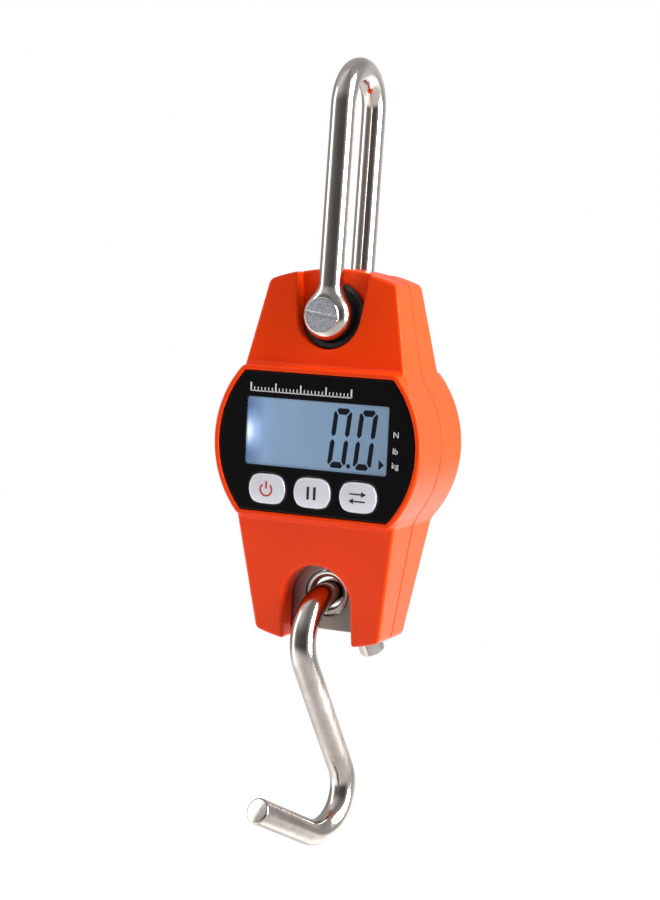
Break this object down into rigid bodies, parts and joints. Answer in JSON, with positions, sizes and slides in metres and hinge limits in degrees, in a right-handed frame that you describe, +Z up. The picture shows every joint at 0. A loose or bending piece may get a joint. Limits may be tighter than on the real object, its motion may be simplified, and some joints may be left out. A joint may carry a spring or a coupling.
{
  "type": "digital hanging scale",
  "caption": "Hand-sized digital hanging scale: a bent-rod shackle and cross pin, a round-faced plastic body with display and buttons, and an S-hook on a load plate.",
  "frame": {"origin": "the point the scale hangs from: the inside of the shackle's bow at its top, on the middle plane between front and back", "axes": "+Z up along the scale, from hook to shackle; +X to the right as the display is read; +Y from the display's face to the battery side"},
  "size_m": [0.0664, 0.0589, 0.2351],
  "materials": {
    "orange_plastic": "semi-gloss moulded ABS",
    "black_panel": "polished black panel",
    "clear_window": "clear flat window",
    "pearl_plastic": "silvery pearl buttons",
    "lcd": "pale blue display",
    "white_plastic": "matt",
    "black_rubber": "matt",
    "circuit_board": "solder mask",
    "black_plastic": "matt",
    "polished_steel": "polished stainless",
    "satin_steel": "satin stainless",
    "screw_steel": "bright, lightly speckled",
    "zinc_steel": "zinc plated",
    "battery_wrap": "printed foil wrap",
    "gauge_foil": "foil on film",
    "lead_red": "insulated wire",
    "lead_black": "insulated wire"
  },
  "bodies": {
    "shackle": {"shackle_bow": "polished_steel", "pin_screw": "screw_steel"},
    "housing": {"front_housing": "orange_plastic", "rear_housing": "orange_plastic", "faceplate": "black_panel", "lcd_window": "clear_window", "lcd_glass": "lcd", "lcd_backlight": "white_plastic", "lcd_holder": "white_plastic", "zebra_strip": "black_rubber", "main_pcb": "circuit_board", "tact_switch_1": "black_plastic", "tact_switch_2": "black_plastic", "tact_switch_3": "black_plastic", "controller_chip": "black_plastic", "adc_chip": "black_plastic", "pcb_screw_1": "zinc_steel", "pcb_screw_2": "zinc_steel", "load_cell": "satin_steel", "cell_screw_1": "zinc_steel", "cell_screw_2": "zinc_steel", "strain_gauge_left": "gauge_foil", "strain_gauge_right": "gauge_foil", "spacer_washer_front": "black_plastic", "spacer_washer_rear": "black_plastic", "battery_1": "battery_wrap", "battery_2": "battery_wrap", "battery_3": "battery_wrap", "battery_tray": "black_plastic", "contact_spring_1": "zinc_steel", "contact_spring_2": "zinc_steel", "contact_spring_3": "zinc_steel", "contact_plate_1": "zinc_steel", "contact_plate_2": "zinc_steel", "contact_plate_3": "zinc_steel", "battery_lead_red": "lead_red", "battery_lead_black": "lead_black", "load_cell_cable": "white_plastic", "housing_screw_1": "zinc_steel", "housing_screw_2": "zinc_steel", "housing_screw_3": "zinc_steel", "housing_screw_4": "zinc_steel"},
    "hook_ring": {"hook_bush": "polished_steel"},
    "hook": {"s_hook": "polished_steel"},
    "battery_lid": {"battery_door": "orange_plastic"},
    "power_button": {"button_power": "pearl_plastic"},
    "hold_button": {"button_hold": "pearl_plastic"},
    "unit_button": {"button_unit": "pearl_plastic"}
  },
  "joints": [
    {"name": "housing_swing", "type": "hinge", "parent": "shackle", "child": "housing", "pos_m": [-0.00161, 0, -0.06848], "axis": [0, 1, 0], "range_deg": [-30, 30]},
    {"name": "hook_side_swing", "type": "hinge", "parent": "housing", "child": "hook_ring", "pos_m": [-0.00161, 0, -0.15198], "axis": [0, 1, 0], "range_deg": [-20, 20]},
    {"name": "hook_rock", "type": "hinge", "parent": "hook_ring", "child": "hook", "pos_m": [-0.00036, 0.00123, -0.16678], "axis": [0.9663, -0.2499, 0.061], "range_deg": [-60, 60]},
    {"name": "battery_lid_tilt", "type": "hinge", "parent": "housing", "child": "battery_lid", "pos_m": [-0.00161, 0.0171, -0.08908], "axis": [1, 0, 0], "range_deg": [0, 60]},
    {"name": "power_button_press", "type": "slide", "parent": "housing", "child": "power_button", "axis": [0, 1, 0], "range_m": [0, 0.0005], "stiffness_N_per_m": 2500, "springref_m": -0.0001},
    {"name": "hold_button_press", "type": "slide", "parent": "housing", "child": "hold_button", "axis": [0, 1, 0], "range_m": [0, 0.0005], "stiffness_N_per_m": 2500, "springref_m": -0.0001},
    {"name": "unit_button_press", "type": "slide", "parent": "housing", "child": "unit_button", "axis": [0, 1, 0], "range_m": [0, 0.0005], "stiffness_N_per_m": 2500, "springref_m": -0.0001}
  ]
}
